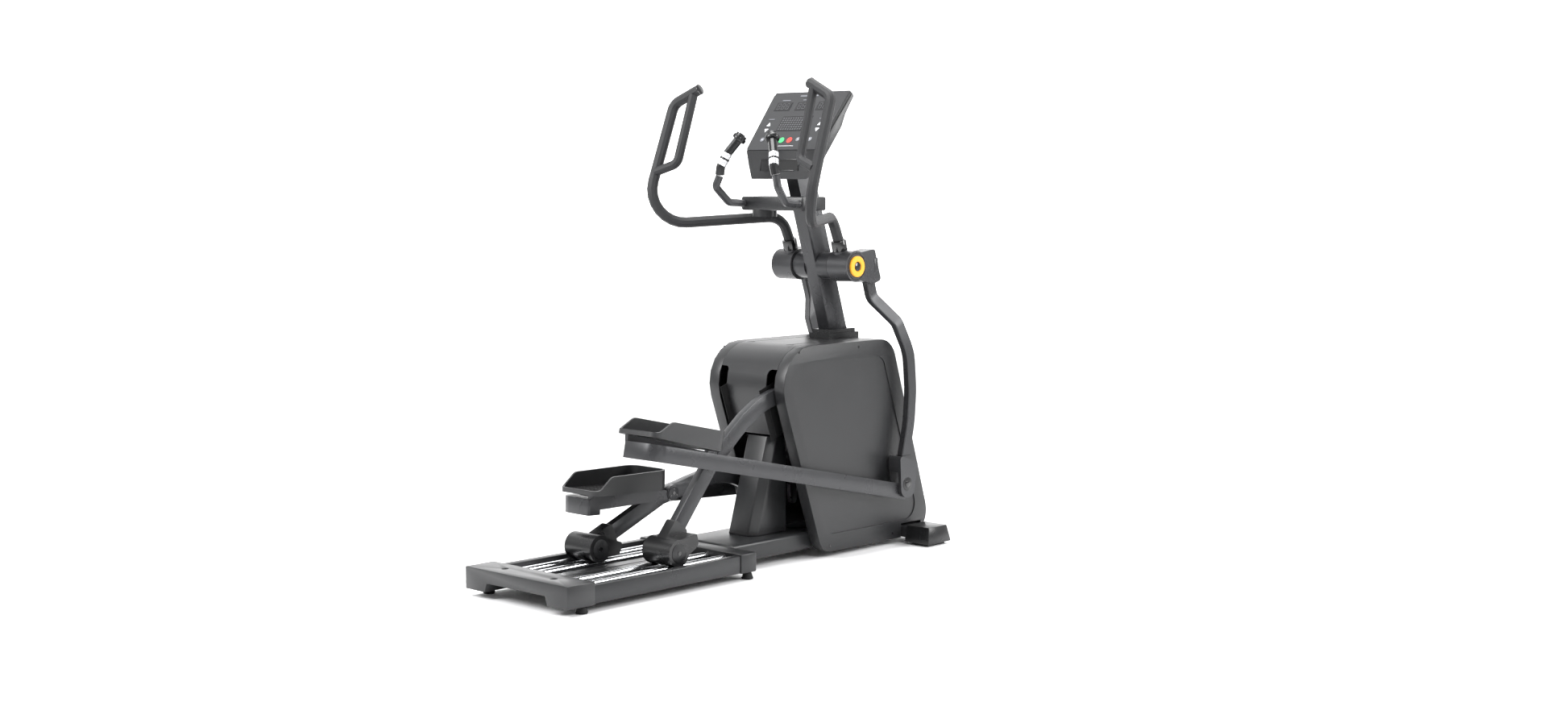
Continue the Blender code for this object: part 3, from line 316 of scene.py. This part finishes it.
# ------------------------------------------------------------------ both sides
PED = {-1: (-0.500 - S, 0.545, -14.35), 1: (-0.505 - S, 0.313, -2.5)}
ROLL = {-1: -0.345 - S, 1: -0.474 - S}
FLG = {-1: (-0.085 - S, 0.435), 1: (-0.0986 - S, 0.2758)}
for s in (1, -1):
    t = "left" if s > 0 else "right"
    hub = pitch(TURN[s], HUB)
    hand = "hand_" + t
    # black collar sleeve and end caps on the handlebar
    u = Vector((0.562 - 0.585, 0, 1.159 - 1.077)).normalized()
    c0 = Vector((HUB[0], s * 0.124, HUB[1]))
    put("collar_sleeve_" + t, moved(rod(c0 + u * 0.060, c0 + u * 0.1005, 0.0285, 40), hub), "gloss", hand, 0.003)
    d2 = Vector((0.241 - 0.221, s * (0.268 - 0.387), 1.743 - 1.690)).normalized()
    e2 = Vector((0.241 - S, s * 0.268, 1.743))
    put("bar_end_cap_" + t, moved(rod(e2 - d2 * 0.005, e2 + d2 * 0.0004, 0.0203, 32), hub), "gloss", hand, 0.0015)
    # hub faces
    put("hub_recess_" + t, moved(ring((HUB[0], s * 0.1902, HUB[1]), (0, 1, 0), 0.049, 0.0014), hub), "liner", hand)
    put("hub_inner_seam_" + t, moved(ring((HUB[0], s * 0.0905, HUB[1]), (0, 1, 0), 0.0572, 0.0013), hub), "liner", hand)
    put("hub_cap_" + t, rod((HUB[0], s * 0.1944, HUB[1]), (HUB[0], s * 0.1975, HUB[1]), 0.0155, 28), "gloss", "base", 0.001)
    blk = [cube((0.700 - S, s * 0.1897, 1.080), (0.020, 0.0012, 0.050), Matrix.Rotation(math.radians(-8), 4, 'Y'))]
    put("hub_block_plate_" + t, moved(joined(blk), hub), "mast", hand, 0.0005)
    # fork cover and bolt
    put("fork_bolt_" + t, moved(joined([rod((0.803 - S, s * 0.2618, 0.243), (0.803 - S, s * 0.2655, 0.243), 0.013, 28)]), hub), "gloss", hand, 0.001)
    put("fork_cover_" + t, moved(joined([rod((0.803 - S, s * 0.2615, 0.243), (0.803 - S, s * 0.2632, 0.243), 0.026, 36)]), hub), "black", hand, 0.0008)
    put("arm_joint_line_" + t, moved(cube((0.806 - S, s * 0.237, 0.352), (0.052, 0.0300, 0.0015)), hub), "liner", hand)
    # pulse contacts
    st, mid, last, end = (Vector(p) for p in ((0.199 - S, s * 0.142, 1.413), (0.196 - S, s * 0.134, 1.447), (0.215 - S, s * 0.116, 1.497), (0.242 - S, s * 0.084, 1.549)))
    bands = []
    for a, b, k0, k1 in ((mid, last, 0.10, 0.50), (mid, last, 0.62, 0.98)):
        bands.append(rod(a.lerp(b, k0), a.lerp(b, k1), 0.0182, 32))
    put("pulse_contacts_" + t, joined(bands), "pale", "base", 0.0012)
    dd = (last - mid)
    put("contact_spacer_" + t, rod(mid.lerp(last, 0.50), mid.lerp(last, 0.62), 0.0187, 32), "black", "base", 0.001)
    dh = (end - last).normalized()
    put("grip_head_" + t, rod(end - dh * 0.008, end + dh * 0.0105, 0.0265, 36), "black", "base", 0.006)
    # side panel trim: small screws
    put("panel_screws_" + t, joined([rod((x - S, s * 0.1898, z), (x - S, s * 0.1912, z), 0.0045, 16) for x, z in
                                     ((0.44, 0.045), (0.80, 0.045), (1.00, 0.062), (0.60, 0.776), (0.27, 0.776))]), "gloss", "base")
    # pedal floor ribs and their lengthwise frame bars
    px, pz, tilt = PED[s]
    pm = pitch(tilt, (px, pz))
    ribs = [cube((px + x, s * 0.145, pz + 0.0102), (0.0045, 0.170, 0.0036)) for x in [0.030 + 0.0165 * k for k in range(18)]]
    put("pedal_ribs_" + t, moved(joined(ribs), pm), "rubber", "foot_" + t, 0.001)
    put("pedal_rib_frame_" + t, moved(joined([cube((px + 0.175, s * 0.145 + d, pz + 0.0102), (0.300, 0.0035, 0.0036)) for d in (-0.042, 0.0, 0.042)]), pm), "rubber", "foot_" + t, 0.001)
    # flange disc with its screws, inboard of the bracket
    fx, fz = FLG[s]
    put("flange_disc_" + t, joined([rod((fx, s * 0.0835, fz), (fx, s * 0.0862, fz), 0.025, 36)]), "mast", "foot_" + t, 0.0008)
    put("flange_screws_" + t, joined([rod((fx, s * 0.0818, fz), (fx, s * 0.0838, fz), 0.0065, 20)] +
                                     [rod((fx + 0.016 * math.cos(a), s * 0.0822, fz + 0.016 * math.sin(a)), (fx + 0.016 * math.cos(a), s * 0.0838, fz + 0.016 * math.sin(a)), 0.0032, 14)
                                      for a in (1.57, 3.67, 5.76)]), "gloss", "foot_" + t)
    # roller hood side discs
    rx = ROLL[s]
    for y, tag in ((0.0612, "in"), (0.1972, "out")):
        out = 1 if tag == "out" else -1
        put("hood_disc_%s_%s" % (tag, t), rod((rx, s * (y - 0.0008), 0.125), (rx, s * (y + 0.0012 * out), 0.125), 0.034, 36), "char", "arm_" + t, 0.0006)
        put("hood_screw_%s_%s" % (tag, t), rod((rx, s * y, 0.125), (rx, s * (y + 0.0028 * out), 0.125), 0.0075, 20), "gloss", "arm_" + t)
    # rail end sockets on the crossbar and rear housing
    put("rail_sockets_" + t, joined([ring((x - S, s * y, 0.0725), (1, 0, 0), 0.0142, 0.0015, 28, 8) for x in (-0.786, -0.106) for y in (0.090, 0.172)]), "black", "base")
    # slot liners
    put("slot_edge_" + t, joined([cube((0.235 - S, s * y, 0.56), (0.10, 0.0015, 0.20), Matrix.Rotation(math.radians(-19), 4, 'Y')) for y in (0.0982,)]), "liner", "base")

# seams on the centre shell, then small parts on the rear housing and deck
put("shell_top_seams", joined([cube((0.50 - S, y, 0.7971), (0.40, 0.0018, 0.0008)) for y in (-0.099, 0.099)]), "liner", "base")
put("rear_housing_screws", joined([rod((-0.846 - S, y, 0.0955), (-0.846 - S, y, 0.0985), 0.0085, 24) for y in (-0.125, 0.125)]), "gloss", "base", 0.0008)
put("rear_housing_bar", cube((-0.880 - S, 0.0, 0.0595), (0.020, 0.27, 0.006)), "black", "base", 0.001)
put("deck_centre_rib", cube((-0.446 - S, 0.0, 0.0724), (0.66, 0.010, 0.0012)), "rail", "base", 0.0004)

# ------------------------------------------------------------------ floor, light, camera
bm = bmesh.new()
bmesh.ops.create_grid(bm, x_segments=1, y_segments=1, size=30)
me = bpy.data.meshes.new("floor")
bm.to_mesh(me)
bm.free()
floor = bpy.data.objects.new("floor", me)
bpy.context.scene.collection.objects.link(floor)
fm = surface("pale_floor", (0.93, 0.93, 0.935), 0.85, grain=3, bump=0.0, tint=0.004)
me.materials.append(fm)
world = bpy.data.worlds.new("studio")
bpy.context.scene.world = world
world.use_nodes = True
world.node_tree.nodes["Background"].inputs["Color"].default_value = (1.0, 1.0, 1.0, 1)
world.node_tree.nodes["Background"].inputs["Strength"].default_value = 0.62


bm = bmesh.new()
bmesh.ops.create_grid(bm, x_segments=1, y_segments=1, size=14)
me = bpy.data.meshes.new("backdrop")
bm.to_mesh(me)
bm.free()
me.transform(Matrix.Translation((6.2, 6.6, 8.0)) @ Matrix.Rotation(math.radians(-47.07), 4, 'Z') @ Matrix.Rotation(math.radians(90), 4, 'X'))
back = bpy.data.objects.new("backdrop", me)
bpy.context.scene.collection.objects.link(back)
me.materials.append(glow("white_backdrop", (1.0, 1.0, 1.0), 1.0))


def area(name, loc, at, size, power):
    li = bpy.data.lights.new(name, 'AREA')
    li.shape = 'RECTANGLE'
    li.size = size[0]
    li.size_y = size[1]
    li.energy = power
    ob = bpy.data.objects.new(name, li)
    ob.location = loc
    ob.rotation_euler = (Vector(at) - Vector(loc)).to_track_quat('-Z', 'Y').to_euler()
    bpy.context.scene.collection.objects.link(ob)


area("key", (-3.2, 1.4, 3.2), (0.0, 0, 0.7), (1.6, 2.6), 190)
area("top", (0.0, 0.0, 4.2), (0.0, 0.0, 0.0), (2.6, 1.6), 150)
area("fill", (2.6, -3.2, 2.4), (0.3, 0, 0.9), (1.2, 2.6), 120)
area("left_rim", (-0.6, -4.0, 2.8), (0.1, 0, 0.8), (1.6, 1.4), 70)

cam = bpy.data.cameras.new("camera")
cam.lens = 46.69
cam.sensor_width = 36.0
co = bpy.data.objects.new("camera", cam)
co.location = (-5.1385 - S, -5.1462, 1.4262)
co.rotation_euler = (math.radians(84.98), 0.0, math.radians(-47.07))
bpy.context.scene.collection.objects.link(co)
bpy.context.scene.camera = co
bpy.context.scene.view_settings.view_transform = 'Standard'
